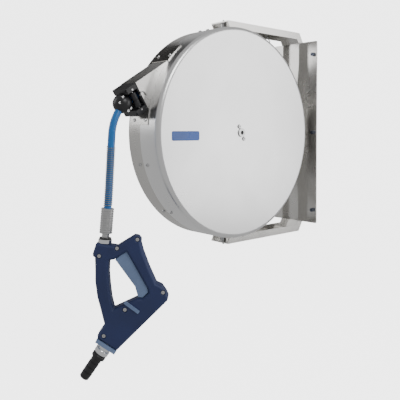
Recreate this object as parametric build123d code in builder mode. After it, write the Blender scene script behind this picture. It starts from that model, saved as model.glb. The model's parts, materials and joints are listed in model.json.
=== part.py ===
from build123d import *
import os
from math import cos, degrees, pi, radians, sin, sqrt, tan

os.makedirs("parts", exist_ok=True)

# A stainless hose reel: a round case on a C-shaped swivel yoke and wall plate,
# a hood with a four-roller mouth, and a spray gun hanging on its hose.
# Millimetres.  +X is the drum axis, the wall is the plane Y = 0, the room is
# on the -Y side, +Z is up, the origin is the middle of the wall plate's back.

# ---------------------------------------------------------------- dimensions
CASE_Y = -279.0          # drum axis and swivel axis stand this far off the wall
CASE_R = 250.0
NEAR_X = 62.0            # outer face of the near cover
FAR_X = -50.0            # outer face of the far cover
SHEET = 1.5
LIP_R = 10.0

PLATE_W, PLATE_H, PLATE_T = 147.2, 490.6, 3.0
STRIP_W, STRIP_T = 58.4, 2.6
STUD_X, STUD_Z = 62.2, 209.8
STUD_R, NECK_R, STUD_OUT = 2.8, 3.0, 7.0

YOKE_X = 29.2            # half width over the channel's flanges
YOKE_T = 3.0
YOKE_TOP = 269.3
YOKE_BACK = -5.6
YOKE_FRONT = -291.7
FLANGE_IN_Z = 251.9      # inner edge of the arm flanges
FLANGE_IN_Y = -23.0      # inner edge of the upright flanges
WELD_Z = 230.0

PIVOT_R, PIVOT_BORE = 5.0, 5.06

HOSE_R, HOSE_BORE = 7.9, 4.8
CORE_R = 150.3
FLANGE_R = 225.0
DRUM_W = 38.0            # half width between the drum flanges
AXLE_R = 12.5

RIM_ANGLES = [105.0, 60.0, 20.0, -20.0, -60.0, -134.5, -163.8]
RIM_SCREW_X = 13.5
HOOD_X = 27.0
HOOD_T = 2.0
STRAP_TOP = (-470.6, 160.4)
STRAP_END = (-559.3, 105.2)
ES = (-0.8545, -0.5195)  # along the hood strap, outward and down, as (y, z)
EU = (-0.5195, 0.8545)   # square to it, upward, as (y, z)
HEAD_W, HEAD_H, HEAD_D = 52.0, 65.0, 28.0
ROLLER_R, SIDE_ROLLER_R, ROLLER_PIN_R, RUN = 6.5, 6.4, 2.0, 0.05
BALL_R = 21.0

GUN_T = 16.0             # half thickness of the gun body

# -------------------------------------------------------------------- planes
SIDE = Plane(origin=(0, 0, 0), x_dir=(0, 1, 0), z_dir=(1, 0, 0))
DISC = Plane(origin=(0, CASE_Y, 0), x_dir=(1, 0, 0), z_dir=(0, -1, 0))
HEAD_Y = STRAP_END[0] - 0.5 * HEAD_H * EU[0]
HEAD_Z = STRAP_END[1] - 0.5 * HEAD_H * EU[1]
HEAD = Plane(origin=(0, HEAD_Y, HEAD_Z), x_dir=(1, 0, 0), z_dir=(0, ES[0], ES[1]))
GX, GY = 0.6643, 0.7475
GUN_ORIGIN = (0.0, -617.0, -228.2)
GUN = Plane(origin=GUN_ORIGIN, x_dir=(GX, GY, 0), z_dir=(GY, -GX, 0))


def gun_point(a, b, c=0.0):
    """A point given in the gun's own plane, as a world point."""
    x = GUN_ORIGIN[0] + a * GX + c * GY
    y = GUN_ORIGIN[1] + a * GY - c * GX
    return (x, y, GUN_ORIGIN[2] + b)


INLET_DIR = (0.0814, 0.9967)
OUTLET_DIR = (-0.566, -0.8244)
INLET = Plane(
    origin=gun_point(-0.9, 3.2),
    x_dir=(INLET_DIR[0] * GX, INLET_DIR[0] * GY, INLET_DIR[1]),
    z_dir=(GY, -GX, 0),
)
OUTLET = Plane(
    origin=gun_point(-0.4, -212.6),
    x_dir=(OUTLET_DIR[0] * GX, OUTLET_DIR[0] * GY, OUTLET_DIR[1]),
    z_dir=(GY, -GX, 0),
)


def rim_plane(theta, radius, x=0.0):
    """Plane lying on the case rim at an angle, its normal pointing outward."""
    c, s = cos(radians(theta)), sin(radians(theta))
    return Plane(origin=(x, CASE_Y + radius * c, radius * s), x_dir=(1, 0, 0), z_dir=(0, c, s))


def head_point(x, u, s):
    """A point in the roller head's own frame, as a world point."""
    return (x, HEAD_Y + u * EU[0] + s * ES[0], HEAD_Z + u * EU[1] + s * ES[1])


def turned(points, plane=DISC):
    """A turned piece from (along, radius) points about the plane's x line."""
    with BuildPart() as piece:
        with BuildSketch(plane):
            with BuildLine():
                Polyline(*points, close=True)
            make_face()
        revolve(axis=Axis(plane.origin, plane.x_dir))
    return piece


def ring(x0, x1, r0, r1, plane=DISC):
    """A plain turned ring."""
    return turned([(x0, r0), (x1, r0), (x1, r1), (x0, r1)], plane)


def route_radii(points, share=0.45):
    """Bend radius for each inner point of a hose route."""
    radii = []
    for i in range(1, len(points) - 1):
        a = Vector(*points[i]) - Vector(*points[i - 1])
        b = Vector(*points[i + 1]) - Vector(*points[i])
        half = radians(a.get_angle(b)) / 2
        radii.append(share * min(a.length, b.length) / tan(half))
    return radii


def tube(points, radii, outer, bore):
    """A tube along straight runs joined by bends."""
    start = Vector(*points[0])
    along = (Vector(*points[1]) - start).normalized()
    with BuildPart() as piece:
        with BuildLine():
            FilletPolyline(*points, radius=radii)
        with BuildSketch(Plane(origin=start, z_dir=along)):
            Circle(outer)
            if bore > 0:
                Circle(bore, mode=Mode.SUBTRACT)
        sweep()
    return piece


# ------------------------------------------------------ wall plate and screws
with BuildPart() as wall_plate:
    with BuildSketch(Plane.XZ):
        RectangleRounded(PLATE_W, PLATE_H, 4)
        with Locations(*[(x, z) for x in (-STUD_X, STUD_X) for z in (-STUD_Z, 0, STUD_Z)]):
            Circle(3.3, mode=Mode.SUBTRACT)
    extrude(amount=PLATE_T)
wall_plate.part.label = "wall_plate"
export_step(wall_plate.part, "parts/wall_plate.step")

with BuildPart() as backing_strip:
    with BuildSketch(Plane.XZ.offset(PLATE_T)):
        Rectangle(STRIP_W, PLATE_H)
    extrude(amount=STRIP_T)
backing_strip.part.label = "backing_strip"
export_step(backing_strip.part, "parts/backing_strip.step")

STUDS = [(x, z) for x in (-STUD_X, STUD_X) for z in (-STUD_Z, 0, STUD_Z)]
with BuildPart() as wall_screws:
    with BuildSketch(Plane.XZ.offset(PLATE_T)):
        with Locations(*STUDS):
            Circle(5)
    extrude(amount=6)
    with BuildSketch(Plane.XZ.offset(PLATE_T + 6)):
        with Locations(*STUDS):
            RegularPolygon(2.9, 6)
    extrude(amount=-3.2, mode=Mode.SUBTRACT)
    with BuildSketch(Plane.XZ.offset(PLATE_T)):
        with Locations(*STUDS):
            Circle(NECK_R)
    extrude(amount=-PLATE_T)
    with BuildSketch(Plane.XZ):
        with Locations(*STUDS):
            Circle(STUD_R)
    extrude(amount=-STUD_OUT)
wall_screws.part.label = "wall_screws"
export_step(wall_screws.part, "parts/wall_screws.step")

# ------------------------------------------------------------- swivel yoke
with BuildPart() as upright_channel:
    with BuildSketch(Plane.XY):
        with Locations((0, (YOKE_BACK + FLANGE_IN_Y) / 2)):
            Rectangle(2 * YOKE_X, YOKE_BACK - FLANGE_IN_Y)
        with Locations((0, (YOKE_BACK - YOKE_T + FLANGE_IN_Y - 2) / 2)):
            Rectangle(2 * (YOKE_X - YOKE_T), YOKE_BACK - YOKE_T - FLANGE_IN_Y + 2, mode=Mode.SUBTRACT)
    extrude(amount=WELD_Z, both=True)
upright_channel.part.label = "upright_channel"
export_step(upright_channel.part, "parts/upright_channel.step")

ARM_OUTLINE = [
    (YOKE_BACK, WELD_Z), (YOKE_BACK, 244.4), (-20.5, YOKE_TOP), (YOKE_FRONT, YOKE_TOP),
    (YOKE_FRONT, YOKE_TOP - YOKE_T), (YOKE_FRONT + 7.8, FLANGE_IN_Z), (-30.4, FLANGE_IN_Z),
    (FLANGE_IN_Y, 239.6), (FLANGE_IN_Y, WELD_Z),
]
ARM_INSIDE = [
    (YOKE_BACK - YOKE_T, WELD_Z - 1), (YOKE_BACK - YOKE_T, 243.57), (-22.2, YOKE_TOP - YOKE_T),
    (YOKE_FRONT - 1, YOKE_TOP - YOKE_T), (YOKE_FRONT - 1, FLANGE_IN_Z - 1),
    (-30.6, FLANGE_IN_Z - 1), (-24, 238), (-24, WELD_Z - 1),
]


def yoke_arm(up):
    """One arm of the yoke with its mitred corner; up is 1 or -1."""
    with BuildPart() as arm:
        with BuildSketch(SIDE):
            Polygon(*[(y, up * z) for y, z in ARM_OUTLINE], align=None)
        extrude(amount=YOKE_X, both=True)
        with BuildSketch(SIDE):
            Polygon(*[(y, up * z) for y, z in ARM_INSIDE], align=None)
        extrude(amount=YOKE_X - YOKE_T, both=True, mode=Mode.SUBTRACT)
        with BuildSketch(Plane.XY.offset(up * (YOKE_TOP + 2))):
            with Locations((0, CASE_Y)):
                Circle(PIVOT_BORE)
        extrude(amount=-up * 10, mode=Mode.SUBTRACT)
    return arm


with BuildPart() as yoke_arms:
    add(yoke_arm(1).part)
    add(yoke_arm(-1).part)
yoke_arms.part.label = "yoke_arms"
export_step(yoke_arms.part, "parts/yoke_arms.step")

with BuildPart() as pivot_pins:
    for up in (1, -1):
        with BuildSketch(Plane.XY.offset(up * 234)):
            with Locations((0, CASE_Y)):
                Circle(PIVOT_R)
        extrude(amount=up * (YOKE_TOP + 0.8 - 234))
        with BuildSketch(Plane.XY.offset(up * (YOKE_TOP + 0.8))):
            with Locations((0, CASE_Y)):
                Circle(2.3)
        extrude(amount=up * 4.8)
pivot_pins.part.label = "pivot_pins"
export_step(pivot_pins.part, "parts/pivot_pins.step")

with BuildPart() as spacer_sleeves:
    for up in (1, -1):
        with BuildSketch(Plane.XY.offset(up * 250.5)):
            with Locations((0, CASE_Y)):
                Circle(7.5)
                Circle(PIVOT_BORE, mode=Mode.SUBTRACT)
        extrude(amount=up * (YOKE_TOP - YOKE_T - 250.5))
spacer_sleeves.part.label = "spacer_sleeves"
export_step(spacer_sleeves.part, "parts/spacer_sleeves.step")

CLIP = [(-20, -116, 265.0), (-20, -104, 265.0), (-20, -91.5, 250.5), (-20, -84.5, 244.0)]
wire_hook = tube(CLIP, [4.0, 5.0], 1.3, 0)
wire_hook.part.label = "wire_hook"
export_step(wire_hook.part, "parts/wire_hook.step")

# --------------------------------------------------------------------- case
PAWL_Y, PAWL_Z = CASE_Y + 78.0, -30.0
HUB_SCREWS = [(CASE_Y + 16.5 * cos(radians(t)), 16.5 * sin(radians(t))) for t in (118, -62)]
MOUTH = [(r * cos(radians(t)) + CASE_Y, r * sin(radians(t))) for r, t in
         ((236, 143), (262, 143), (268, 154), (262, 165), (236, 165))]


def cover(face_x, centre_hole):
    """One dished cover: round face, rolled lip and half of the rim."""
    with BuildPart() as dish:
        with BuildSketch(SIDE):
            with Locations((CASE_Y, 0)):
                Circle(CASE_R)
        extrude(amount=face_x)
        outer = dish.faces().sort_by(Axis.X)[-1 if face_x > 0 else 0]
        fillet(outer.edges(), LIP_R)
        seam = dish.faces().filter_by(Axis.X).sort_by(Axis.X)[0 if face_x > 0 else -1]
        offset(amount=-SHEET, openings=seam)
        with BuildSketch(SIDE):
            Polygon(*MOUTH, align=None)
        extrude(amount=22, both=True, mode=Mode.SUBTRACT)
        with BuildSketch(Plane.XY):
            with Locations((0, CASE_Y)):
                Circle(5.4)
        extrude(amount=260, both=True, mode=Mode.SUBTRACT)
        with BuildSketch(SIDE.offset(face_x)):
            with Locations((CASE_Y, 0)):
                Circle(centre_hole)
            if face_x > 0:
                with Locations(*HUB_SCREWS):
                    Circle(3.1)
        extrude(amount=4, both=True, mode=Mode.SUBTRACT)
        if face_x > 0:
            with BuildSketch(SIDE.offset(face_x - 0.5)):
                with Locations((PAWL_Y, PAWL_Z)):
                    Circle(4)
            extrude(amount=-20.5)
        for theta in RIM_ANGLES:
            with BuildSketch(rim_plane(theta, CASE_R - 6)):
                with Locations((-RIM_SCREW_X, 0), (RIM_SCREW_X, 0)):
                    Circle(2.5)
            extrude(amount=8, mode=Mode.SUBTRACT)
        for theta, x in ((137.0, 20.5), (173.65, 20.0)):
            with BuildSketch(rim_plane(theta, CASE_R - 6)):
                with Locations((-x, 0), (x, 0)):
                    Circle(2.5)
            extrude(amount=8, mode=Mode.SUBTRACT)
    return dish


near_cover = cover(NEAR_X, 10.7)
near_cover.part.label = "near_cover"
export_step(near_cover.part, "parts/near_cover.step")

far_cover = cover(FAR_X, AXLE_R + 0.2)
far_cover.part.label = "far_cover"
export_step(far_cover.part, "parts/far_cover.step")

with BuildPart() as joint_straps:
    for theta in RIM_ANGLES:
        with BuildSketch(SIDE.offset(-24)):
            with BuildLine():
                outer = CenterArc((CASE_Y, 0), CASE_R - SHEET, theta - 3, 6)
                inner = CenterArc((CASE_Y, 0), CASE_R - SHEET - 2.2, theta - 3, 6)
                Line(outer @ 0, inner @ 0)
                Line(outer @ 1, inner @ 1)
            make_face()
        extrude(amount=48)
    for theta in RIM_ANGLES:
        with BuildSketch(rim_plane(theta, CASE_R - 8)):
            with Locations((-RIM_SCREW_X, 0), (RIM_SCREW_X, 0)):
                Circle(2.42)
        extrude(amount=8, mode=Mode.SUBTRACT)
joint_straps.part.label = "joint_straps"
export_step(joint_straps.part, "parts/joint_straps.step")


def rim_screw_set(places, seat, shank):
    """Button-head screws standing on the rim at (angle, x) places."""
    with BuildPart() as group:
        for theta, x in places:
            with BuildSketch(rim_plane(theta, seat, x)):
                Circle(4.4)
            extrude(amount=2.4, taper=28)
            with BuildSketch(rim_plane(theta, seat + 2.4, x)):
                RegularPolygon(1.7, 6)
            extrude(amount=-1.5, mode=Mode.SUBTRACT)
            with BuildSketch(rim_plane(theta, seat, x)):
                Circle(2.4)
            extrude(amount=-shank)
    return group


RIM_SCREWS = [(t, x) for t in RIM_ANGLES for x in (-RIM_SCREW_X, RIM_SCREW_X)]
HOOD_SCREWS = [(137.0, -20.5), (137.0, 20.5), (173.65, -20.0), (173.65, 20.0)]
with BuildPart() as case_screws:
    add(rim_screw_set(RIM_SCREWS, CASE_R, 8).part)
    add(rim_screw_set(HOOD_SCREWS, CASE_R + HOOD_T, 9).part)
case_screws.part.label = "case_screws"
export_step(case_screws.part, "parts/case_screws.step")

with BuildPart() as pivot_sockets:
    for up in (1, -1):
        with BuildSketch(Plane.XY.offset(up * 228)):
            with Locations((0, CASE_Y)):
                Circle(11)
                Circle(PIVOT_BORE, mode=Mode.SUBTRACT)
        extrude(amount=up * 25)
    with BuildSketch(SIDE):
        with Locations((CASE_Y, 0)):
            Circle(CASE_R - SHEET)
    extrude(amount=20, both=True, mode=Mode.INTERSECT)
pivot_sockets.part.label = "pivot_sockets"
export_step(pivot_sockets.part, "parts/pivot_sockets.step")

with BuildPart() as side_label:
    with BuildSketch(SIDE.offset(NEAR_X)):
        with Locations((-451.8, -6.4)):
            RectangleRounded(78, 21, 4)
    extrude(amount=0.5)
side_label.part.label = "side_label"
export_step(side_label.part, "parts/side_label.step")

# --------------------------------------------------------------------- hood
CHEEK_FOOT = (STRAP_END[0] - 62 * EU[0], STRAP_END[1] - 62 * EU[1])
INSIDE_TOP = (STRAP_TOP[0] - HOOD_T * EU[0] + 12, STRAP_TOP[1] - HOOD_T * EU[1] + 7.3)
INSIDE_END = (STRAP_END[0] - HOOD_T * (EU[0] + ES[0]), STRAP_END[1] - HOOD_T * (EU[1] + ES[1]))
INSIDE_FOOT = (CHEEK_FOOT[0] - HOOD_T * ES[0] - 12 * EU[0], CHEEK_FOOT[1] - HOOD_T * ES[1] - 12 * EU[1])
with BuildPart() as hood:
    with BuildSketch(SIDE):
        Polygon(STRAP_TOP, STRAP_END, CHEEK_FOOT, (-500, 70), (-480, 120), align=None)
    extrude(amount=HOOD_X, both=True)
    with BuildSketch(SIDE):
        Polygon(INSIDE_TOP, INSIDE_END, INSIDE_FOOT, (-470, 60), (-450, 130), align=None)
    extrude(amount=HOOD_X - HOOD_T, both=True, mode=Mode.SUBTRACT)
    for start, size in ((129.0, 12.0), (166.6, 9.4)):
        with BuildSketch(SIDE.offset(-29)):
            with BuildLine():
                outer = CenterArc((CASE_Y, 0), CASE_R + HOOD_T, start, size)
                inner = CenterArc((CASE_Y, 0), CASE_R, start, size)
                Line(outer @ 0, inner @ 0)
                Line(outer @ 1, inner @ 1)
            make_face()
        extrude(amount=58)
    with BuildSketch(SIDE):
        with Locations((CASE_Y, 0)):
            Circle(CASE_R)
    extrude(amount=70, both=True, mode=Mode.SUBTRACT)
    with BuildSketch(HEAD):
        Rectangle(60, HEAD_H + 1)
    extrude(amount=20, mode=Mode.SUBTRACT)
    with BuildSketch(HEAD.offset(2)):
        Rectangle(40, 46)
    extrude(amount=-8, mode=Mode.SUBTRACT)
    for theta, x in ((137.0, 20.5), (173.65, 20.0)):
        with BuildSketch(rim_plane(theta, CASE_R - 6)):
            with Locations((-x, 0), (x, 0)):
                Circle(2.5)
        extrude(amount=12, mode=Mode.SUBTRACT)
    with BuildSketch(HEAD.offset(2)):
        with Locations((-22.5, 27.4), (22.5, 27.4), (-22.5, -27.4), (22.5, -27.4)):
            Circle(1.7)
    extrude(amount=-7, mode=Mode.SUBTRACT)
hood.part.label = "hood"
export_step(hood.part, "parts/hood.step")

# ------------------------------------------------------ hose and ball stop
LEAD_START = (0, -384.3, 173.3)
LEAD_BEND = (0, HEAD_Y + 41.5 * ES[0], HEAD_Z + 41.5 * ES[1])
BALL_DIR = (-0.5276, -0.8495)
BALL_C = (LEAD_BEND[1] - 7.3 * BALL_DIR[0], LEAD_BEND[2] - 7.3 * BALL_DIR[1])
BALL_EXIT = (0, BALL_C[0] + BALL_R * BALL_DIR[0], BALL_C[1] + BALL_R * BALL_DIR[1])
LEAD = [LEAD_START, LEAD_BEND, BALL_EXIT]
hose_lead = tube(LEAD, [45.0], HOSE_R, HOSE_BORE)
hose_lead.part.label = "hose_lead"
export_step(hose_lead.part, "parts/hose_lead.step")


def inlet_point(h):
    """A point on the gun's inlet line, h above the gun collar."""
    return gun_point(-0.9 + h * INLET_DIR[0], 3.2 + h * INLET_DIR[1])


HOSE_END = inlet_point(42.0)
HOSE_ROUTE = [
    BALL_EXIT,
    (0, BALL_EXIT[1] + 26 * BALL_DIR[0], BALL_EXIT[2] + 26 * BALL_DIR[1]),
    (0, -602.4, -26.0),
    (1.6, -606.6, -78.0),
    inlet_point(94.0),
    HOSE_END,
]
HOSE_RADII = route_radii(HOSE_ROUTE)
print("free hose bend radii", [round(r, 1) for r in HOSE_RADII])
free_hose = tube(HOSE_ROUTE, HOSE_RADII, HOSE_R, HOSE_BORE)
route_length = sum((Vector(*b) - Vector(*a)).length for a, b in zip(HOSE_ROUTE, HOSE_ROUTE[1:]))
section = pi * (HOSE_R**2 - HOSE_BORE**2)
print("free hose length by volume", round(free_hose.part.volume / section, 1), "of", round(route_length, 1))
free_hose.part.label = "free_hose"
export_step(free_hose.part, "parts/free_hose.step")

BALL_SCREWS = []
for u, v in ((10, 12.8), (2, 15), (7, -13), (-7, -13)):
    y = BALL_C[0] + u * BALL_DIR[0] - v * BALL_DIR[1]
    BALL_SCREWS.append((y, BALL_C[1] + u * BALL_DIR[1] + v * BALL_DIR[0]))
BALL_FAR = (0, BALL_C[0] + 30 * BALL_DIR[0], BALL_C[1] + 30 * BALL_DIR[1])
ball_bore = tube([(0, HEAD_Y, HEAD_Z), LEAD_BEND, BALL_FAR], [45.0], HOSE_R + 0.05, 0)
with BuildPart() as ball_stop:
    with Locations((0, BALL_C[0], BALL_C[1])):
        Sphere(BALL_R)
    add(ball_bore.part, mode=Mode.SUBTRACT)
    with BuildSketch(SIDE.offset(12)):
        with Locations(*BALL_SCREWS):
            Circle(3.1)
    extrude(amount=12, mode=Mode.SUBTRACT)
    with BuildSketch(SIDE.offset(-12)):
        with Locations(*BALL_SCREWS):
            Circle(1.65)
    extrude(amount=26, mode=Mode.SUBTRACT)
    with BuildSketch(SIDE):
        with Locations(BALL_C):
            Rectangle(60, 60)
    extrude(amount=0.2, both=True, mode=Mode.SUBTRACT)
ball_stop.part.label = "ball_stop"
export_step(ball_stop.part, "parts/ball_stop.step")

# --------------------------------------------------------------- roller head
ROLLER_U, ROLLER_S = 23.5, 14.0
SIDE_ROLLER_X, SIDE_ROLLER_S = 19.4, 14.0
with BuildPart() as roller_head:
    with BuildSketch(HEAD):
        RectangleRounded(HEAD_W, HEAD_H, 2.5)
        Rectangle(38, 37, mode=Mode.SUBTRACT)
    extrude(amount=2.5)
    with BuildSketch(HEAD.offset(2.5)):
        with Locations((0, 25.75), (0, -25.75)):
            RectangleRounded(HEAD_W, 13.5, 2.5)
    extrude(amount=HEAD_D - 2.5)
    with BuildSketch(HEAD.offset(6.8)):
        with Locations((0, ROLLER_U - 2), (0, 2 - ROLLER_U)):
            Rectangle(28, 18)
    extrude(amount=14.7, mode=Mode.SUBTRACT)
    with Locations((0, BALL_C[0], BALL_C[1])):
        Sphere(BALL_R + 0.5, mode=Mode.SUBTRACT)
    for u in (ROLLER_U, -ROLLER_U):
        with BuildSketch(Plane(origin=head_point(-27, u, ROLLER_S), z_dir=(1, 0, 0))):
            Circle(ROLLER_PIN_R + 0.02)
        extrude(amount=54, mode=Mode.SUBTRACT)
    for x in (SIDE_ROLLER_X, -SIDE_ROLLER_X):
        with BuildSketch(Plane(origin=head_point(x, -21.2, SIDE_ROLLER_S), z_dir=(0, EU[0], EU[1]))):
            Circle(ROLLER_PIN_R + 0.02)
        extrude(amount=42.4, mode=Mode.SUBTRACT)
    with BuildSketch(HEAD.offset(-1)):
        with Locations((-22.5, 27.4), (22.5, 27.4), (-22.5, -27.4), (22.5, -27.4)):
            Circle(1.7)
    extrude(amount=40, mode=Mode.SUBTRACT)
    with BuildSketch(HEAD.offset(24)):
        with Locations((-22.5, 27.4), (22.5, 27.4), (-22.5, -27.4), (22.5, -27.4)):
            Circle(3.1)
    extrude(amount=6, mode=Mode.SUBTRACT)
roller_head.part.label = "roller_head"
export_step(roller_head.part, "parts/roller_head.step")

HEAD_CORNERS = [(-22.5, 27.4), (22.5, 27.4), (-22.5, -27.4), (22.5, -27.4)]
with BuildPart() as small_screws:
    with BuildSketch(HEAD.offset(-4)):
        with Locations(*HEAD_CORNERS):
            Circle(1.6)
    extrude(amount=28.5)
    with BuildSketch(HEAD.offset(24)):
        with Locations(*HEAD_CORNERS):
            Circle(2.9)
        with Locations(*HEAD_CORNERS):
            RegularPolygon(1.3, 6, mode=Mode.SUBTRACT)
    extrude(amount=2.5)
    with BuildSketch(SIDE.offset(-12)):
        with Locations(*BALL_SCREWS):
            Circle(1.6)
    extrude(amount=24.5)
    with BuildSketch(SIDE.offset(12)):
        with Locations(*BALL_SCREWS):
            Circle(2.9)
        with Locations(*BALL_SCREWS):
            RegularPolygon(1.3, 6, mode=Mode.SUBTRACT)
    extrude(amount=2.2)
small_screws.part.label = "small_screws"
export_step(small_screws.part, "parts/small_screws.step")

with BuildPart() as roller_pins:
    for u in (ROLLER_U, -ROLLER_U):
        with BuildSketch(Plane(origin=head_point(-26, u, ROLLER_S), z_dir=(1, 0, 0))):
            Circle(ROLLER_PIN_R)
        extrude(amount=52)
    for x in (SIDE_ROLLER_X, -SIDE_ROLLER_X):
        with BuildSketch(Plane(origin=head_point(x, -21.1, SIDE_ROLLER_S), z_dir=(0, EU[0], EU[1]))):
            Circle(ROLLER_PIN_R)
        extrude(amount=42.2)
roller_pins.part.label = "roller_pins"
export_step(roller_pins.part, "parts/roller_pins.step")


def roller(centre, along, radius, length):
    """One grooved plastic roller turning on its pin."""
    g = radius - 1.2
    half = length / 2
    bore = ROLLER_PIN_R + RUN
    plane = Plane(origin=centre, x_dir=along, z_dir=Vector(*along).cross(Vector(0.3, 0.5, 0.8)))
    return turned([(-half, bore), (half, bore), (half, radius - 0.8), (half - 0.8, radius), (1, radius),
                   (0.6, g), (-0.6, g), (-1, radius), (0.8 - half, radius), (-half, radius - 0.8)], plane)


roller_top = roller(head_point(0, ROLLER_U, ROLLER_S), (1, 0, 0), ROLLER_R, 27)
roller_top.part.label = "roller_top"
export_step(roller_top.part, "parts/roller_top.step")

roller_bottom = roller(head_point(0, -ROLLER_U, ROLLER_S), (1, 0, 0), ROLLER_R, 27)
roller_bottom.part.label = "roller_bottom"
export_step(roller_bottom.part, "parts/roller_bottom.step")

roller_near = roller(head_point(SIDE_ROLLER_X, 0, SIDE_ROLLER_S), (0, EU[0], EU[1]), SIDE_ROLLER_R, 33)
roller_near.part.label = "roller_near"
export_step(roller_near.part, "parts/roller_near.step")

roller_far = roller(head_point(-SIDE_ROLLER_X, 0, SIDE_ROLLER_S), (0, EU[0], EU[1]), SIDE_ROLLER_R, 33)
roller_far.part.label = "roller_far"
export_step(roller_far.part, "parts/roller_far.step")

head_clip = tube([(28.1, -549, 78), (28.1, -547, 86.5), (28.1, -538.5, 87.5), (28.1, -533, 80)], [4.0, 4.0], 1.05, 0)
head_clip.part.label = "head_clip"
export_step(head_clip.part, "parts/head_clip.step")

# ------------------------------------------------- axle, inlet and hub pieces
with BuildPart() as axle:
    with BuildSketch(DISC):
        with BuildLine():
            Polyline((-68, 0), (NEAR_X + 2.5, 0), (NEAR_X + 2.5, 10.5), (NEAR_X - SHEET, 10.5),
                     (NEAR_X - SHEET, 28), (NEAR_X - SHEET - 8, 28), (NEAR_X - SHEET - 8, AXLE_R),
                     (-56, AXLE_R), (-56, 10.0), (-68, 10.0), close=True)
        make_face()
    revolve(axis=Axis(DISC.origin, DISC.x_dir))
    with BuildSketch(SIDE.offset(NEAR_X)):
        with Locations(*HUB_SCREWS):
            Circle(3.02)
    extrude(amount=-12, mode=Mode.SUBTRACT)
    with BuildSketch(SIDE.offset(NEAR_X + 3)):
        with Locations((CASE_Y, 0)):
            Circle(5)
    extrude(amount=-16, mode=Mode.SUBTRACT)
    with BuildSketch(SIDE.offset(-69)):
        with Locations((CASE_Y, 0)):
            Circle(6)
    extrude(amount=56, mode=Mode.SUBTRACT)
    with BuildSketch(Plane.XY):
        with Locations((-17, CASE_Y)):
            Circle(4)
    extrude(amount=20, mode=Mode.SUBTRACT)
axle.part.label = "axle"
export_step(axle.part, "parts/axle.step")

with BuildPart() as hub_screws:
    for y, z in HUB_SCREWS:
        with BuildSketch(SIDE.offset(NEAR_X)):
            with Locations((y, z)):
                Circle(5.2)
        extrude(amount=2.8, taper=25)
        with BuildSketch(SIDE.offset(NEAR_X + 2.8)):
            with Locations((y, z)):
                RegularPolygon(2.0, 6)
        extrude(amount=-1.8, mode=Mode.SUBTRACT)
        with BuildSketch(SIDE.offset(NEAR_X)):
            with Locations((y, z)):
                Circle(2.95)
        extrude(amount=-9)
hub_screws.part.label = "hub_screws"
export_step(hub_screws.part, "parts/hub_screws.step")

with BuildPart() as axle_nut:
    with BuildSketch(SIDE.offset(FAR_X)):
        with Locations((CASE_Y, 0)):
            RegularPolygon(20, 6)
            Circle(AXLE_R + 0.02, mode=Mode.SUBTRACT)
    extrude(amount=-6)
axle_nut.part.label = "axle_nut"
export_step(axle_nut.part, "parts/axle_nut.step")

INLET_X = -82.0
with BuildPart() as inlet_elbow:
    with BuildSketch(SIDE.offset(-56)):
        with Locations((CASE_Y, 0)):
            Circle(14.5)
    extrude(amount=INLET_X + 56)
    with Locations((INLET_X, CASE_Y, 0)):
        Sphere(14.5)
    with BuildSketch(Plane.XY):
        with Locations((INLET_X, CASE_Y)):
            Circle(14.5)
    extrude(amount=-24)
    with BuildSketch(Plane.XY.offset(-24)):
        with Locations((INLET_X, CASE_Y)):
            RegularPolygon(16, 6)
    extrude(amount=-8)
    with BuildSketch(Plane.XY.offset(-32)):
        with Locations((INLET_X, CASE_Y)):
            Circle(10.4)
    extrude(amount=-15)
    with BuildSketch(Plane.XY.offset(-48)):
        with Locations((INLET_X, CASE_Y)):
            Circle(6.5)
    extrude(amount=48, mode=Mode.SUBTRACT)
    with BuildSketch(SIDE.offset(-55)):
        with Locations((CASE_Y, 0)):
            Circle(6)
    extrude(amount=-27, mode=Mode.SUBTRACT)
    with BuildSketch(SIDE.offset(-55)):
        with Locations((CASE_Y, 0)):
            Circle(10.02)
    extrude(amount=-13.1, mode=Mode.SUBTRACT)
inlet_elbow.part.label = "inlet_elbow"
export_step(inlet_elbow.part, "parts/inlet_elbow.step")

# --------------------------------------------------------------------- drum
drum_core = ring(-DRUM_W, DRUM_W, CORE_R - 2.5, CORE_R)
with BuildPart() as drum_barrel:
    add(drum_core.part)
    with BuildSketch(Plane.XY.offset(CORE_R - 10)):
        with Locations((-17, CASE_Y)):
            Circle(HOSE_R + 0.1)
    extrude(amount=14, mode=Mode.SUBTRACT)
drum_barrel.part.label = "drum_barrel"
export_step(drum_barrel.part, "parts/drum_barrel.step")


def drum_side(side):
    """A drum flange with its bearing hub; side is 1 near, -1 far."""
    x0, x1 = DRUM_W, DRUM_W + 1.5
    return turned([(side * x0, 20), (side * 28, 20), (side * 28, 16.02), (side * x1, 16.02),
                   (side * x1, FLANGE_R), (side * x0, FLANGE_R)])


with BuildPart() as drum_flanges:
    add(drum_side(1).part)
    add(drum_side(-1).part)
drum_flanges.part.label = "drum_flanges"
export_step(drum_flanges.part, "parts/drum_flanges.step")

with BuildPart() as bearing_bushes:
    add(ring(28, 41, AXLE_R + RUN, 16).part)
    add(ring(-41, -28, AXLE_R + RUN, 16).part)
bearing_bushes.part.label = "bearing_bushes"
export_step(bearing_bushes.part, "parts/bearing_bushes.step")

LAYERS = [(186.3, 4, 4.0), (172.4, 4, -4.0), (158.5, 4, 4.0)]
TURN_PITCH = 16.1
with BuildPart() as wound_hose:
    for radius, turns, shift in LAYERS:
        with BuildSketch(DISC):
            with Locations(*[(shift + TURN_PITCH * (i - (turns - 1) / 2), radius) for i in range(turns)]):
                Circle(HOSE_R)
        revolve(axis=Axis(DISC.origin, DISC.x_dir))
wound = sum(2 * pi * r * n for r, n, _ in LAYERS)
print("hose wound on the drum", round(wound), "mm")
wound_hose.part.label = "wound_hose"
export_step(wound_hose.part, "parts/wound_hose.step")

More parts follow.
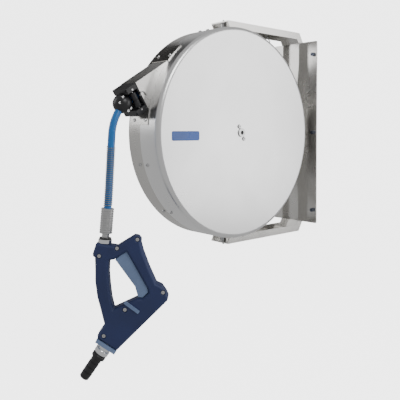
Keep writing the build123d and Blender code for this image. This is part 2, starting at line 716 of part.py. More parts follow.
with BuildPart() as rotary_union:
    add(ring(-27.5, -6.5, AXLE_R + RUN, 24).part)
    with BuildSketch(Plane.XY.offset(18)):
        with Locations((-17, CASE_Y)):
            Circle(9.5)
    extrude(amount=27)
    with BuildSketch(DISC):
        with BuildLine():
            Polyline((-27.5, 10), (-6.5, 10), (-6.5, AXLE_R + RUN), (-12, AXLE_R + RUN), (-12, 16), (-22, 16),
                     (-22, AXLE_R + RUN), (-27.5, AXLE_R + RUN), close=True)
        make_face()
    revolve(axis=Axis(DISC.origin, DISC.x_dir), mode=Mode.SUBTRACT)
    with BuildSketch(Plane.XY.offset(13)):
        with Locations((-17, CASE_Y)):
            Circle(5)
    extrude(amount=33, mode=Mode.SUBTRACT)
rotary_union.part.label = "rotary_union"
export_step(rotary_union.part, "parts/rotary_union.step")

with BuildPart() as hose_tail_fitting:
    with BuildSketch(Plane.XY.offset(45)):
        with Locations((-17, CASE_Y)):
            RegularPolygon(11, 6)
    extrude(amount=12)
    with BuildSketch(Plane.XY.offset(57)):
        with Locations((-17, CASE_Y)):
            Circle(10.5)
    extrude(amount=33)
    with BuildSketch(Plane.XY.offset(62)):
        with Locations((-17, CASE_Y)):
            Circle(HOSE_R)
    extrude(amount=30, mode=Mode.SUBTRACT)
    with BuildSketch(Plane.XY.offset(44)):
        with Locations((-17, CASE_Y)):
            Circle(4.2)
    extrude(amount=20, mode=Mode.SUBTRACT)
hose_tail_fitting.part.label = "hose_tail_fitting"
export_step(hose_tail_fitting.part, "parts/hose_tail_fitting.step")

with BuildPart() as hose_tail:
    with BuildSketch(Plane.XY.offset(62)):
        with Locations((-17, CASE_Y)):
            Circle(HOSE_R)
            Circle(HOSE_BORE, mode=Mode.SUBTRACT)
    extrude(amount=CORE_R - 62.5)
hose_tail.part.label = "hose_tail"
export_step(hose_tail.part, "parts/hose_tail.step")

CAN_R = 108.0
with BuildPart() as spring_can:
    with BuildSketch(DISC):
        with BuildLine():
            Polyline((-4, 17), (-4, CAN_R), (DRUM_W, CAN_R), (DRUM_W, CAN_R - 1.5), (-2.5, CAN_R - 1.5),
                     (-2.5, 17), close=True)
        make_face()
    revolve(axis=Axis(DISC.origin, DISC.x_dir))
spring_can.part.label = "spring_can"
export_step(spring_can.part, "parts/spring_can.step")

SPIRAL_TURNS, SPIRAL_STEPS = 9, 28
spiral = []
for i in range(SPIRAL_TURNS * SPIRAL_STEPS + 1):
    t = i / (SPIRAL_TURNS * SPIRAL_STEPS)
    angle = 2 * pi * SPIRAL_TURNS * t
    radius = 17.5 + (CAN_R - 4 - 17.5) * t
    spiral.append((radius, angle))
with BuildPart() as rewind_spring:
    with BuildSketch(SIDE.offset(1)):
        outer_side = [(CASE_Y + (r + 0.5) * cos(a), (r + 0.5) * sin(a)) for r, a in spiral]
        inner_side = [(CASE_Y + (r - 0.5) * cos(a), (r - 0.5) * sin(a)) for r, a in reversed(spiral)]
        with BuildLine():
            Polyline(*outer_side, *inner_side, close=True)
        make_face()
    extrude(amount=24)
rewind_spring.part.label = "rewind_spring"
export_step(rewind_spring.part, "parts/rewind_spring.step")

TEETH, RATCHET_R = 12, 62.0
with BuildPart() as ratchet_wheel:
    with BuildSketch(SIDE.offset(DRUM_W + 1.5)):
        tooth_points = []
        for i in range(TEETH):
            a0, a1 = 2 * pi * i / TEETH, 2 * pi * (i + 0.92) / TEETH
            tooth_points.append((CASE_Y + (RATCHET_R - 7) * cos(a0), (RATCHET_R - 7) * sin(a0)))
            tooth_points.append((CASE_Y + RATCHET_R * cos(a1), RATCHET_R * sin(a1)))
        Polygon(*tooth_points, align=None)
        with Locations((CASE_Y, 0)):
            Circle(34, mode=Mode.SUBTRACT)
    extrude(amount=4)
ratchet_wheel.part.label = "ratchet_wheel"
export_step(ratchet_wheel.part, "parts/ratchet_wheel.step")

# ---------------------------------------------------------------- pawl group
with BuildPart() as pawl:
    with BuildSketch(SIDE.offset(DRUM_W + 2)):
        with Locations((PAWL_Y, PAWL_Z)):
            Circle(8)
        Polygon((PAWL_Y - 7.5, PAWL_Z + 2), (PAWL_Y - 11, PAWL_Z + 23), (PAWL_Y - 7, PAWL_Z + 25),
                (PAWL_Y + 7.5, PAWL_Z + 2), align=None)
        with Locations((PAWL_Y, PAWL_Z)):
            Circle(4.05, mode=Mode.SUBTRACT)
    extrude(amount=4)
pawl.part.label = "pawl"
export_step(pawl.part, "parts/pawl.step")

with BuildPart() as pawl_spring:
    for i in range(4):
        with BuildSketch(SIDE.offset(46.5 + 2.4 * i)):
            with Locations((PAWL_Y, PAWL_Z)):
                Circle(6.4)
                Circle(4.3, mode=Mode.SUBTRACT)
        extrude(amount=1.9)
    with BuildSketch(SIDE.offset(46.5)):
        with Locations((PAWL_Y, PAWL_Z - 5.35)):
            Rectangle(2.1, 2.1)
    extrude(amount=9.1)
pawl_spring.part.label = "pawl_spring"
export_step(pawl_spring.part, "parts/pawl_spring.step")

# --------------------------------------------------- hose end pieces and gun
GUARD_R, GUARD_TOP, GUARD_FOOT = 9.6, -26.0, 71.0
guard_tube = tube(HOSE_ROUTE[1:], HOSE_RADII[1:], GUARD_R, HOSE_R + 0.1)
with BuildPart() as spring_guard:
    add(guard_tube.part)
    with BuildSketch(Plane.XY.offset(GUARD_TOP)):
        with Locations((0, HOSE_ROUTE[1][1])):
            Rectangle(60, 60)
    extrude(amount=60, mode=Mode.SUBTRACT)
    with BuildSketch(INLET):
        with BuildLine():
            Polyline((30, 0), (GUARD_FOOT, 0), (GUARD_FOOT, 20), (30, 20), close=True)
        make_face()
    revolve(axis=Axis(INLET.origin, INLET.x_dir), mode=Mode.SUBTRACT)
spring_guard.part.label = "spring_guard"
export_step(spring_guard.part, "parts/spring_guard.step")

FERRULE_R, RIB_DEPTH, RIBS = 13.3, 1.0, 10
ferrule_line = [(18.6, HOSE_R + 0.05), (18.6, 12.6), (19.3, FERRULE_R)]
for i in range(RIBS):
    x = 21.5 + 4.8 * i
    ferrule_line += [(x, FERRULE_R), (x + 0.5, FERRULE_R - RIB_DEPTH)]
    ferrule_line += [(x + 1.7, FERRULE_R - RIB_DEPTH), (x + 2.2, FERRULE_R)]
ferrule_line += [(69.8, FERRULE_R), (70.6, 12.4), (70.6, HOSE_R + 0.05)]
hose_ferrule = turned(ferrule_line, INLET)
hose_ferrule.part.label = "hose_ferrule"
export_step(hose_ferrule.part, "parts/hose_ferrule.step")

swivel_tail = turned([(-8, 2.8), (-8, 7.8), (-5.5, 7.8), (-5.5, 6.4), (4, 6.4), (4, 7.6), (18.4, 7.6), (18.4, 7.85),
                      (41.9, 7.85), (41.9, 2.8)], INLET)
swivel_tail.part.label = "swivel_tail"
export_step(swivel_tail.part, "parts/swivel_tail.step")

swivel_ring = ring(6.8, 9.4, 7.65, 12.5, INLET)
swivel_ring.part.label = "swivel_ring"
export_step(swivel_ring.part, "parts/swivel_ring.step")

swivel_nut = turned([(-2.0, 6.5), (-2.0, 13.2), (-1.2, 14.0), (5.6, 14.0), (6.4, 13.2),
                     (6.4, 7.66), (3.8, 7.66), (3.8, 6.5)], INLET)
swivel_nut.part.label = "swivel_nut"
export_step(swivel_nut.part, "parts/swivel_nut.step")

GUN_OUTLINE = [
    (-17.8, 2.6), (-12.0, 3.2), (16.8, -1.8), (25.0, -3.0), (60.6, 18.8), (69.0, 17.4), (74.6, 11.2),
    (74.2, 3.0), (78.6, -14.0), (90.0, -45.0), (105.5, -80.0), (117.0, -85.0), (126.0, -98.0), (130.5, -108.0),
    (128.8, -115.3), (24.0, -218.8), (-15.0, -193.3), (-15.8, -187.0), (-0.6, -163.9), (-2.2, -159.6),
    (-8.4, -134.3), (-15.6, -107.0), (-19.6, -75.4), (-19.5, -50.2), (-20.2, -25.5), (-24.0, -24.5), (-24.6, -18.6),
]
GUN_WINDOW = [
    (8.8, -32.8), (7.6, -57.3), (9.6, -82.8), (12.7, -110.4), (17.8, -132.5), (65.0, -110.6),
    (77.2, -110.6), (89.2, -100.0), (88.2, -91.3), (57.7, -36.0), (44.9, -14.6), (20.4, -30.4),
]
TRIGGER_ROOM = [
    (26, -26), (33, -4.5), (50, -4.5), (66, -30), (99, -80), (112, -97), (104, -106), (78, -111.5), (60, -80),
]
GUN_SCREWS = [(-11.2, -23.4), (25.6, -7.6), (67.4, 10.6), (119.6, -98.6), (41.2, -134.2), (-2.4, -188.4)]
WATER_PATH = [gun_point(-1.3, -2), gun_point(-3.6, -30), gun_point(-7, -80), gun_point(-1.5, -125), gun_point(7, -168)]


def gun_half(side):
    """One moulded half of the gun body; side is 1 near, -1 far."""
    with BuildPart() as half:
        with BuildSketch(GUN):
            Polygon(*GUN_OUTLINE, align=None)
            Polygon(*GUN_WINDOW, align=None, mode=Mode.SUBTRACT)
        extrude(amount=side * GUN_T)
        face = half.faces().sort_by(Axis(GUN.origin, GUN.z_dir))[-1 if side > 0 else 0]
        chamfer(face.edges(), 4.0)
        with BuildSketch(GUN):
            Polygon(*TRIGGER_ROOM, align=None)
        extrude(amount=side * 9.5, mode=Mode.SUBTRACT)
        with BuildSketch(GUN.offset(side * GUN_T)):
            with Locations(*GUN_SCREWS):
                Circle(4.9)
        extrude(amount=-side * 6, mode=Mode.SUBTRACT)
        with BuildSketch(GUN):
            with Locations(*GUN_SCREWS):
                Circle(1.75)
        extrude(amount=side * GUN_T, mode=Mode.SUBTRACT)
        with BuildLine():
            FilletPolyline(*WATER_PATH, radius=40)
        with BuildSketch(Plane(origin=WATER_PATH[0], z_dir=Vector(*WATER_PATH[1]) - Vector(*WATER_PATH[0]))):
            Circle(5.6)
        sweep(mode=Mode.SUBTRACT)
        for x0, x1, r in ((-58, 1, 12.1), (-128.5, -50, 3.2), (-64, -57, 6.5)):
            with BuildSketch(OUTLET):
                with BuildLine():
                    Polyline((x0, 0), (x1, 0), (x1, r), (x0, r), close=True)
                make_face()
            revolve(axis=Axis(OUTLET.origin, OUTLET.x_dir), mode=Mode.SUBTRACT)
        with BuildSketch(INLET):
            with BuildLine():
                Polyline((-8.4, 0), (6, 0), (6, 14.1), (-2.3, 14.1), (-2.3, 6.5), (-5.2, 6.5), (-5.2, 8.1),
                         (-8.4, 8.1), close=True)
            make_face()
        revolve(axis=Axis(INLET.origin, INLET.x_dir), mode=Mode.SUBTRACT)
        with BuildSketch(GUN):
            with Locations((38.0, -14.0)):
                Circle(2.52)
        extrude(amount=side * 13, mode=Mode.SUBTRACT)
    return half


gun_shell_near = gun_half(1)
gun_shell_near.part.label = "gun_shell_near"
export_step(gun_shell_near.part, "parts/gun_shell_near.step")

gun_shell_far = gun_half(-1)
gun_shell_far.part.label = "gun_shell_far"
export_step(gun_shell_far.part, "parts/gun_shell_far.step")

with BuildPart() as gun_screws:
    for a, b in GUN_SCREWS:
        with BuildSketch(GUN.offset(-11)):
            with Locations((a, b)):
                Circle(1.7)
        extrude(amount=21.5)
        with BuildSketch(GUN.offset(10)):
            with Locations((a, b)):
                Circle(3.7)
                RegularPolygon(1.5, 6, mode=Mode.SUBTRACT)
        extrude(amount=2.6)
gun_screws.part.label = "gun_screws"
export_step(gun_screws.part, "parts/gun_screws.step")

water_tube = tube(WATER_PATH[:1] + WATER_PATH[1:], [40.0, 40.0, 40.0], 5.5, 3.8)
with BuildPart() as water_pipe:
    add(water_tube.part)
    with BuildSketch(INLET):
        with BuildLine():
            Polyline((-9, 0), (10, 0), (10, 20), (-9, 20), close=True)
        make_face()
    revolve(axis=Axis(INLET.origin, INLET.x_dir), mode=Mode.SUBTRACT)
    with BuildSketch(OUTLET):
        with BuildLine():
            Polyline((-70, 0), (2, 0), (2, 12.3), (-70, 12.3), close=True)
        make_face()
    revolve(axis=Axis(OUTLET.origin, OUTLET.x_dir), mode=Mode.SUBTRACT)
water_pipe.part.label = "water_pipe"
export_step(water_pipe.part, "parts/water_pipe.step")

valve_body = turned([(-57.5, 4), (-8.8, 4), (-8.8, 12), (-57.5, 12)], OUTLET)
valve_body.part.label = "valve_body"
export_step(valve_body.part, "parts/valve_body.step")

valve_stem = turned([(-122, 0), (-12, 0), (-12, 3.6), (-20, 3.6), (-20, 2.6), (-122, 2.6)], OUTLET)
valve_stem.part.label = "valve_stem"
export_step(valve_stem.part, "parts/valve_stem.step")

TRIGGER_PIVOT = (38.0, -14.0)
TRIGGER = [
    (21.2, -31.4), (29.0, -25.8), (33.2, -18.0), (33.2, -9.4), (42.8, -9.4), (45.2, -15.8), (57.0, -36.4),
    (87.4, -91.6), (88.2, -99.4), (77.0, -109.9), (67.9, -108.8), (61.6, -87.0),
]
with BuildPart() as trigger:
    with BuildSketch(GUN.offset(-9)):
        Polygon(*TRIGGER, align=None)
        with Locations(TRIGGER_PIVOT):
            Circle(2.56, mode=Mode.SUBTRACT)
    extrude(amount=18)
trigger.part.label = "trigger"
export_step(trigger.part, "parts/trigger.step")

with BuildPart() as trigger_pin:
    with BuildSketch(GUN.offset(-12.8)):
        with Locations(TRIGGER_PIVOT):
            Circle(2.5)
    extrude(amount=25.6)
trigger_pin.part.label = "trigger_pin"
export_step(trigger_pin.part, "parts/trigger_pin.step")

with BuildPart() as end_plate:
    with BuildSketch(GUN.offset(-GUN_T + 1)):
        Polygon((-15.2, -193.5), (23.8, -219.0), (19.0, -226.2), (-19.8, -200.8), align=None)
    extrude(amount=2 * GUN_T - 2)
    with BuildSketch(OUTLET):
        with BuildLine():
            Polyline((-16, 0), (12, 0), (12, 9.02), (-16, 9.02), close=True)
        make_face()
    revolve(axis=Axis(OUTLET.origin, OUTLET.x_dir), mode=Mode.SUBTRACT)
end_plate.part.label = "end_plate"
export_step(end_plate.part, "parts/end_plate.step")

outlet_coupling = turned([(-7.8, 4), (-7.8, 9), (1.2, 9), (1.2, 13.0), (5.4, 13.0), (5.4, 11.5), (8.0, 11.5), (8.0, 14.4),
                          (8.8, 15.2), (17.4, 15.2), (18.2, 14.4), (18.2, 8.4), (48, 8.4), (48, 4)], OUTLET)
outlet_coupling.part.label = "outlet_coupling"
export_step(outlet_coupling.part, "parts/outlet_coupling.step")

release_collar = turned([(21.4, 8.8), (21.4, 13.8), (22.2, 14.6), (28.6, 14.6), (29.4, 13.8), (29.4, 8.8)], OUTLET)
release_collar.part.label = "release_collar"
export_step(release_collar.part, "parts/release_collar.step")

nozzle_line = [(30.2, 8.46), (30.2, 10.8)]
for x in (38.0, 50.0, 62.0):
    nozzle_line += [(x, 10.8), (x + 0.6, 9.5), (x + 3.4, 9.5), (x + 4.0, 10.8)]
nozzle_line += [(79.6, 10.2), (80.8, 9.0), (80.8, 3.5), (49, 3.5), (49, 8.46)]
nozzle = turned(nozzle_line, OUTLET)
nozzle.part.label = "nozzle"
export_step(nozzle.part, "parts/nozzle.step")

LATCH_MID = (56.0, -127.6)
with BuildPart() as lock_slider:
    with BuildSketch(GUN.offset(GUN_T)):
        with Locations(Location((LATCH_MID[0], LATCH_MID[1]), -36.2)):
            RectangleRounded(36, 6.8, 1.5)
    extrude(amount=2.4)
lock_slider.part.label = "lock_slider"
export_step(lock_slider.part, "parts/lock_slider.step")

print("ball centre", [round(v, 2) for v in BALL_C], "ball exit", [round(v, 2) for v in BALL_EXIT])
print("gun swivel line", [round(v, 2) for v in INLET.origin], "outlet", [round(v, 2) for v in OUTLET.origin])
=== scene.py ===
import json
import math

import bpy
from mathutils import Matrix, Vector

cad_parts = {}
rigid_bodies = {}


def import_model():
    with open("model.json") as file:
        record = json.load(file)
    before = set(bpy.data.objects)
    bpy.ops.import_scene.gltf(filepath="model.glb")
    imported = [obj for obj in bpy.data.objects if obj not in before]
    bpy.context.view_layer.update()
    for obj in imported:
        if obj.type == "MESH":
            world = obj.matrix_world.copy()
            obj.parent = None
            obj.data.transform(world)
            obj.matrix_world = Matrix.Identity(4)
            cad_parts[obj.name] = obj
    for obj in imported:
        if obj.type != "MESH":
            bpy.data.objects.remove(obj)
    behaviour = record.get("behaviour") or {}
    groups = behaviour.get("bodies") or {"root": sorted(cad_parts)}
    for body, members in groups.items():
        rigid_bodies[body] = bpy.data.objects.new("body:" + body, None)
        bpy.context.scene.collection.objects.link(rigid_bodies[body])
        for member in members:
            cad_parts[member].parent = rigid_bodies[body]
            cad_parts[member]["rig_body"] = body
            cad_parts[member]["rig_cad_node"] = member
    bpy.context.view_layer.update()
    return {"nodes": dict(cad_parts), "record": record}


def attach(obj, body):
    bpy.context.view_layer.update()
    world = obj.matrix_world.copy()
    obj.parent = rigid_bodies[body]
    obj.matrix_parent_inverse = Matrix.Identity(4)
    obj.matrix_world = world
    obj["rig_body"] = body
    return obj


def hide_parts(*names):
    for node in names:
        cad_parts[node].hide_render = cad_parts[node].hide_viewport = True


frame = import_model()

MM = 0.001
NODES = frame["nodes"]
COLL = bpy.context.scene.collection

# ------------------------------------------------------------------ materials


def new_material(name):
    """A Principled material with its nodes, output shader and object coordinates."""
    m = bpy.data.materials.new(name)
    m.use_nodes = True
    tree = m.node_tree
    shader = tree.nodes["Principled BSDF"]
    coords = tree.nodes.new("ShaderNodeTexCoord")
    return m, tree, shader, coords.outputs["Object"]


def mapped(tree, vector, scale, rotation=(0, 0, 0)):
    node = tree.nodes.new("ShaderNodeMapping")
    node.inputs["Scale"].default_value = scale
    node.inputs["Rotation"].default_value = rotation
    tree.links.new(vector, node.inputs["Vector"])
    return node.outputs["Vector"]


def noise(tree, vector, scale, detail=4.0, rough=0.55):
    node = tree.nodes.new("ShaderNodeTexNoise")
    node.inputs["Scale"].default_value = scale
    node.inputs["Detail"].default_value = detail
    node.inputs["Roughness"].default_value = rough
    tree.links.new(vector, node.inputs["Vector"])
    return node.outputs["Fac"]


def ramp(tree, fac, stops):
    node = tree.nodes.new("ShaderNodeValToRGB")
    band = node.color_ramp
    while len(band.elements) < len(stops):
        band.elements.new(0.5)
    for element, (at, colour) in zip(band.elements, stops):
        element.position = at
        element.color = (*colour, 1.0)
    tree.links.new(fac, node.inputs["Fac"])
    return node.outputs["Color"]


def spread(tree, fac, low, high):
    node = tree.nodes.new("ShaderNodeMapRange")
    node.inputs["From Min"].default_value = 0.3
    node.inputs["From Max"].default_value = 0.7
    node.inputs["To Min"].default_value = low
    node.inputs["To Max"].default_value = high
    tree.links.new(fac, node.inputs["Value"])
    return node.outputs["Result"]


def bump(tree, shader, fac, strength, distance):
    node = tree.nodes.new("ShaderNodeBump")
    node.inputs["Strength"].default_value = strength
    node.inputs["Distance"].default_value = distance
    tree.links.new(fac, node.inputs["Height"])
    tree.links.new(node.outputs["Normal"], shader.inputs["Normal"])


def tinted(colour, amount):
    return tuple(max(0.0, min(1.0, c * amount)) for c in colour)


def metal(name, colour, rough, grain=(4, 4, 400), contrast=0.06, wear=0.05, depth=0.00004):
    """Stainless or plated metal with a directional grain and soft cloudy wear."""
    m, tree, shader, at = new_material(name)
    lines = noise(tree, mapped(tree, at, grain), 6.0, 3.0)
    cloud = noise(tree, at, 9.0, 5.0)
    links = tree.links
    links.new(ramp(tree, cloud, [(0.3, tinted(colour, 1 - contrast)), (0.7, tinted(colour, 1 + contrast))]),
              shader.inputs["Base Color"])
    links.new(spread(tree, cloud, rough - wear, rough + wear), shader.inputs["Roughness"])
    shader.inputs["Metallic"].default_value = 1.0
    bump(tree, shader, lines, 0.25, depth)
    return m


def plastic(name, colour, rough, speck=900.0, strength=0.2, depth=0.0001, coat=0.0):
    """Moulded plastic or rubber: fine sparkle texture and faint cloudy colour."""
    m, tree, shader, at = new_material(name)
    fine = noise(tree, at, speck, 2.0)
    cloud = noise(tree, at, 14.0, 4.0)
    links = tree.links
    links.new(ramp(tree, cloud, [(0.3, tinted(colour, 0.86)), (0.7, tinted(colour, 1.16))]),
              shader.inputs["Base Color"])
    links.new(spread(tree, cloud, rough - 0.05, rough + 0.07), shader.inputs["Roughness"])
    shader.inputs["Coat Weight"].default_value = coat
    bump(tree, shader, fine, strength, depth)
    return m


M = {
    "stainless": metal("stainless", (0.60, 0.59, 0.57), 0.26),
    "stainless_bright": metal("stainless_bright", (0.80, 0.80, 0.80), 0.30, (3, 300, 3), 0.02, 0.03),
    "zinc_screw": metal("zinc_screw", (0.17, 0.19, 0.24), 0.32, (80, 80, 80)),
    "steel": metal("steel", (0.55, 0.55, 0.55), 0.28, (60, 60, 60)),
    "chrome": metal("chrome", (0.82, 0.83, 0.85), 0.10, (20, 20, 20), 0.03, 0.03),
    "brass": metal("brass", (0.66, 0.50, 0.24), 0.25, (60, 60, 60)),
    "spring_steel": metal("spring_steel", (0.30, 0.30, 0.30), 0.28, (90, 90, 90)),
    "black_plastic": plastic("black_plastic", (0.018, 0.018, 0.020), 0.42),
    "black_rubber": plastic("black_rubber", (0.013, 0.013, 0.015), 0.34),
    "blue_hose": plastic("blue_hose", (0.020, 0.165, 0.48), 0.30, 500.0, 0.12),
    "navy": plastic("navy", (0.016, 0.029, 0.100), 0.55, 1100.0, 0.35, 0.00015),
    "grey_blue": plastic("grey_blue", (0.17, 0.24, 0.40), 0.42),
    "label": plastic("label", (0.018, 0.09, 0.40), 0.25, 700.0, 0.05),
}
SLOT_OF = {s["node"]: s["material_slot"] for s in frame["record"]["subparts"]}
for node_name, ob in NODES.items():
    ob.data.materials.clear()
    ob.data.materials.append(M[SLOT_OF[node_name]])


def add_mesh(name, verts, faces, material, smooth=True):
    mesh = bpy.data.meshes.new(name)
    mesh.from_pydata([tuple(v) for v in verts], [], faces)
    mesh.update()
    if smooth:
        mesh.shade_smooth()
    ob = bpy.data.objects.new(name, mesh)
    COLL.objects.link(ob)
    mesh.materials.append(material)
    return ob


def dress(ob, body, slot_name, *stands_for):
    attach(ob, body)
    if stands_for:
        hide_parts(*stands_for)
    return ob


def nurbs(name, points, radius, material, resolution=10):
    """An open tube whose centreline is a quadratic NURBS through the route's runs.

    The points carry the tube's radius and the bevel is one metre, because an
    object's bounds grow by the points' radius and not by the bevel.
    """
    curve = bpy.data.curves.new(name, "CURVE")
    curve.dimensions = "3D"
    spline = curve.splines.new("NURBS")
    spline.points.add(len(points) - 1)
    for p, q in zip(spline.points, points):
        p.co = (*q, 1.0)
        p.radius = radius
    spline.order_u = 3
    spline.use_endpoint_u = True
    spline.resolution_u = 24
    curve.bevel_depth = 1.0
    curve.bevel_resolution = resolution
    curve.use_fill_caps = True
    ob = bpy.data.objects.new(name, curve)
    COLL.objects.link(ob)
    curve.materials.append(material)
    return ob


def line_of(ob):
    """Points along a curve's centreline, in the row frame."""
    curve = ob.data
    depth, caps = curve.bevel_depth, curve.use_fill_caps
    curve.bevel_depth = 0.0
    bpy.context.view_layer.update()
    graph = bpy.context.evaluated_depsgraph_get()
    mesh = bpy.data.meshes.new_from_object(ob.evaluated_get(graph))
    points = [v.co.copy() for v in mesh.vertices]
    bpy.data.meshes.remove(mesh)
    curve.bevel_depth = depth
    curve.use_fill_caps = caps
    return points


def frames_along(points):
    """Tangent and two steady normals at each point."""
    out = []
    side = Vector((1, 0, 0))
    for i, p in enumerate(points):
        t = (points[min(i + 1, len(points) - 1)] - points[max(i - 1, 0)]).normalized()
        side = (side - t * side.dot(t)).normalized()
        out.append((p, t, side, t.cross(side)))
    return out


def rod(name, points, radius, material, sides=10):
    """A round wire mesh following points."""
    verts, faces = [], []
    for p, t, a, b in frames_along(points):
        for k in range(sides):
            w = 2 * math.pi * k / sides
            verts.append(p + a * (radius * math.cos(w)) + b * (radius * math.sin(w)))
    for i in range(len(points) - 1):
        for k in range(sides):
            q = (k + 1) % sides
            faces.append((i * sides + k, i * sides + q, (i + 1) * sides + q, (i + 1) * sides + k))
    faces.append(tuple(reversed(range(sides))))
    faces.append(tuple(range((len(points) - 1) * sides, len(points) * sides)))
    return add_mesh(name, verts, faces, material)


# ------------------------------------------------- gun plane, as in the design
GX, GY = 0.6643, 0.7475
GUN_O = (0.0, -617.0, -228.2)


def gun(a, b, c=0.0):
    return Vector((GUN_O[0] + a * GX + c * GY, GUN_O[1] + a * GY - c * GX, GUN_O[2] + b)) * MM


def inlet(h):
    return gun(-0.9 + h * 0.0814, 3.2 + h * 0.9967)


# -------------------------------------------------------------------- hoses
BALL_EXIT = Vector((0, -585.11, 44.23)) * MM
BALL_DIR = Vector((0, -0.5276, -0.8495))
ROUTE = [BALL_EXIT, BALL_EXIT + BALL_DIR * 0.026, Vector((0, -0.6024, -0.026)),
         Vector((0.0016, -0.6066, -0.078)), inlet(94.0), inlet(42.0)]
HOSE_D = 0.0158
free_hose = nurbs("free_hose_tube", ROUTE, HOSE_D / 2, M["blue_hose"])
dress(free_hose, "case", "blue_hose", "free_hose")
hose_line = line_of(free_hose)

HEAD_O = Vector((0, -542.416, 77.429)) * MM
ES = Vector((0, -0.8545, -0.5195))
LEAD_ROUTE = [Vector((0, -0.3843, 0.1733)), HEAD_O + ES * 0.029, HEAD_O + ES * 0.0415, BALL_EXIT]
lead = nurbs("hose_lead_tube", LEAD_ROUTE, HOSE_D / 2, M["blue_hose"])
dress(lead, "case", "blue_hose", "hose_lead")

# the coil on the drum, one helix with its layers nested
coil = []
TURNS = ((158.5, 4, 1), (172.4, 4, -1), (186.3, 4, 1))
TURN_STEPS, TURN_PITCH, LAYER_SHIFT, AXLE_Y, COIL_TUBE_R = 40, 16.1, 4.0, -279.0, 0.00785
for radius, turns, way in TURNS:
    steps = TURN_STEPS * turns
    for i in range(steps):
        w = 2 * math.pi * i / TURN_STEPS
        x = LAYER_SHIFT * way + way * TURN_PITCH * (i / TURN_STEPS - turns / 2) * (turns - 1) / turns
        coil.append(Vector((x, AXLE_Y + radius * math.cos(w), radius * math.sin(w))) * MM)
dress(rod("hose_coil", coil, COIL_TUBE_R, M["blue_hose"], 12), "drum", "blue_hose", "wound_hose")

# ------------------------------------------------------- spring guard as wire
GUARD_TOP, GUARD_FOOT = -0.0262, inlet(71.2).z
span = [p for p in hose_line if GUARD_FOOT <= p.z <= GUARD_TOP]
span = [span[0]] + span + [span[-1]]
frames = frames_along(span)
lengths = [0.0]
for a, b in zip(span, span[1:]):
    lengths.append(lengths[-1] + (b - a).length)
PITCH, WIRE_R, COIL_R = 0.0042, 0.00084, 0.00876
count = int(lengths[-1] / PITCH * 24)
wire = []
j = 0
for i in range(count):
    s = WIRE_R + (lengths[-1] - 2 * WIRE_R) * i / (count - 1)
    while j < len(lengths) - 2 and lengths[j + 1] < s:
        j += 1
    gap = max(lengths[j + 1] - lengths[j], 1e-9)
    f = min(1.0, (s - lengths[j]) / gap)
    p = span[j].lerp(span[j + 1], f)
    _, _, a, b = frames[j]
    w = 2 * math.pi * s / PITCH
    wire.append(p + a * (COIL_R * math.cos(w)) + b * (COIL_R * math.sin(w)))
dress(rod("spring_guard_wire", wire, WIRE_R, M["spring_steel"], 8), "case", "spring_steel", "spring_guard")


# ---------------------------------------------- gun body with soft round edges
SWIVEL_CLEAR, SWIVEL_FROM, SWIVEL_TO, SKIN = 0.00822, -0.0105, 0.0065, 0.01590


def relieved(mesh, place):
    """Keeps the rounded skin clear of the hose's swivel and below the lock slider."""
    back = place.inverted()
    base = inlet(0.0)
    axis = (inlet(1.0) - base).normalized()
    face = Vector((GY, -GX, 0.0)).normalized()
    middle = gun(0.0, 0.0)
    for v in mesh.vertices:
        at_v = place @ v.co
        height = (at_v - base).dot(axis)
        off = at_v - base - axis * height
        if SWIVEL_FROM < height < SWIVEL_TO and 1e-6 < off.length < SWIVEL_CLEAR:
            at_v = base + axis * height + off.normalized() * SWIVEL_CLEAR
        depth = (at_v - middle).dot(face)
        if abs(depth) > SKIN:
            at_v = at_v - face * (depth - math.copysign(SKIN, depth))
        v.co = back @ at_v


def softened(node, name, voxel, rounds):
    """A rounded copy of a moulded CAD node."""
    ob = NODES[node].copy()
    ob.data = NODES[node].data.copy()
    ob.name = name
    ob.data.name = name
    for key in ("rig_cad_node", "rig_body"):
        if key in ob:
            del ob[key]
    ob.parent = None
    COLL.objects.link(ob)
    weld = ob.modifiers.new("weld", "WELD")
    weld.merge_threshold = 0.00001
    mesher = ob.modifiers.new("voxels", "REMESH")
    mesher.mode = "VOXEL"
    mesher.voxel_size = voxel
    mesher.use_smooth_shade = True
    smoother = ob.modifiers.new("soft", "SMOOTH")
    smoother.factor = 0.5
    smoother.iterations = rounds
    bpy.context.view_layer.update()
    graph = bpy.context.evaluated_depsgraph_get()
    mesh = bpy.data.meshes.new_from_object(ob.evaluated_get(graph))
    ob.modifiers.clear()
    ob.data = mesh
    relieved(mesh, ob.matrix_world)
    mesh.shade_smooth()
    return ob


SKIN_VOXEL, SKIN_ROUNDS = 0.0011, 6
for side in ("near", "far"):
    node = "gun_shell_" + side
    dress(softened(node, node + "_soft", SKIN_VOXEL, SKIN_ROUNDS), "gun", "navy", node)

# raised grip ribs across the trigger lock's slider
SLIDER_AT, SLIDER_TOP, RIBS, RIB_PITCH = (56.0, -127.6), 18.3, 9, 3.4
ribs_v, ribs_f = [], []
along = Vector((0.807, -0.5905))
across = Vector((0.5905, 0.807))
for i in range(RIBS):
    mid = along * ((i - (RIBS - 1) / 2) * RIB_PITCH)
    start = len(ribs_v)
    for depth, half in ((SLIDER_TOP, 0.75), (SLIDER_TOP + 0.9, 0.35)):
        for a, b in ((-1, -1), (1, -1), (1, 1), (-1, 1)):
            q = mid + along * (a * half) + across * (b * 2.9)
            ribs_v.append(gun(SLIDER_AT[0] + q.x, SLIDER_AT[1] + q.y, depth))
    ribs_f += [tuple(start + k for k in f) for f in
               ((3, 2, 1, 0), (4, 5, 6, 7), (0, 1, 5, 4), (1, 2, 6, 5), (2, 3, 7, 6), (3, 0, 4, 7))]
dress(add_mesh("slider_grip_ribs", ribs_v, ribs_f, M["grey_blue"], smooth=False), "lock_slider", "grey_blue")

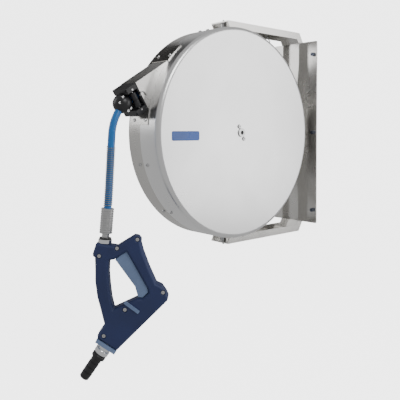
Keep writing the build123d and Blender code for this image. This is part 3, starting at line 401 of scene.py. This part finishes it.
# --------------------------------------------------------- floor, light, view
FLOOR_Z, VIEW_TURN, FLOOR_GLOW, WORLD_GLOW = -0.80, 48.37, 3.4, 0.50
floor_mat, tree, shader, at = new_material("studio_floor")
shader.inputs["Base Color"].default_value = (0.95, 0.95, 0.95, 1)
shader.inputs["Roughness"].default_value = 0.8
shader.inputs["Emission Color"].default_value = (1, 1, 1, 1)
shader.inputs["Emission Strength"].default_value = FLOOR_GLOW
sweep_v, sweep_f = [], []
profile = [(-9.0, FLOOR_Z)] + [(3.0 + 2.5 * math.sin(w), FLOOR_Z + 2.5 * (1 - math.cos(w)))
                             for w in [math.pi / 2 * k / 12 for k in range(13)]] + [(5.5, 9.0)]
for x in (-12, 12):
    for d, z in profile:
        sweep_v.append(Vector((x, d, z)))
n = len(profile)
for i in range(n - 1):
    sweep_f.append((i, i + 1, n + i + 1, n + i))
floor = add_mesh("studio_sweep", sweep_v, sweep_f, floor_mat)
floor.rotation_euler = (0, 0, math.radians(VIEW_TURN))
floor.visible_glossy = False
floor.visible_diffuse = False

# a dark card high on the hidden side, seen only in the metal, gives the steel its contrast
card_mat, tree, shader, at = new_material("studio_card")
shader.inputs["Base Color"].default_value = (0.02, 0.02, 0.02, 1)
shader.inputs["Roughness"].default_value = 0.9
CARD_AT, CARD_HALF = Vector((-1.9, -0.3, 1.55)), 0.75
card_n = (Vector((0, -0.3, 0)) - CARD_AT).normalized()
card_u = card_n.cross(Vector((0, 0, 1))).normalized()
card_w = card_n.cross(card_u)
card_corners = [CARD_AT + card_u * (a * CARD_HALF) + card_w * (b * CARD_HALF)
                for a, b in ((-1, -1), (1, -1), (1, 1), (-1, 1))]
card = add_mesh("studio_dark_card", card_corners, [(0, 1, 2, 3)], card_mat, smooth=False)
card.visible_camera = False
card.visible_shadow = False

world = bpy.data.worlds.new("studio")
bpy.context.scene.world = world
world.use_nodes = True
world.node_tree.nodes["Background"].inputs["Color"].default_value = (1, 1, 1, 1)
world.node_tree.nodes["Background"].inputs["Strength"].default_value = WORLD_GLOW


def area(name, place, target, size, power):
    data = bpy.data.lights.new(name, "AREA")
    data.energy = power
    data.shape = "RECTANGLE"
    data.size = size[0]
    data.size_y = size[1]
    ob = bpy.data.objects.new(name, data)
    ob.location = place
    ob.rotation_euler = (Vector(target) - Vector(place)).to_track_quat("-Z", "Y").to_euler()
    COLL.objects.link(ob)
    return ob


area("key", (2.2, -0.6, 1.6), (0, -0.3, 0), (1.2, 1.2), 24)
area("face", (1.7, 1.25, 0.25), (0.06, -0.28, 0), (1.1, 1.7), 15)
area("side", (-1.6, -2.0, 0.9), (0, -0.5, 0), (0.9, 1.4), 11)

cam_data = bpy.data.cameras.new("camera")
cam_data.sensor_width = 36.0
cam_data.lens = 50.49
cam_data.shift_x = -0.0007
cam_data.shift_y = -0.1424
cam = bpy.data.objects.new("camera", cam_data)
cam.location = (0.99316, -1.23752, 0.00673)
yaw, pitch = math.radians(138.37), math.radians(-1.35)
look = Vector((math.cos(pitch) * math.cos(yaw), math.cos(pitch) * math.sin(yaw), math.sin(pitch)))
cam.rotation_euler = look.to_track_quat("-Z", "Y").to_euler()
COLL.objects.link(cam)
bpy.context.scene.camera = cam
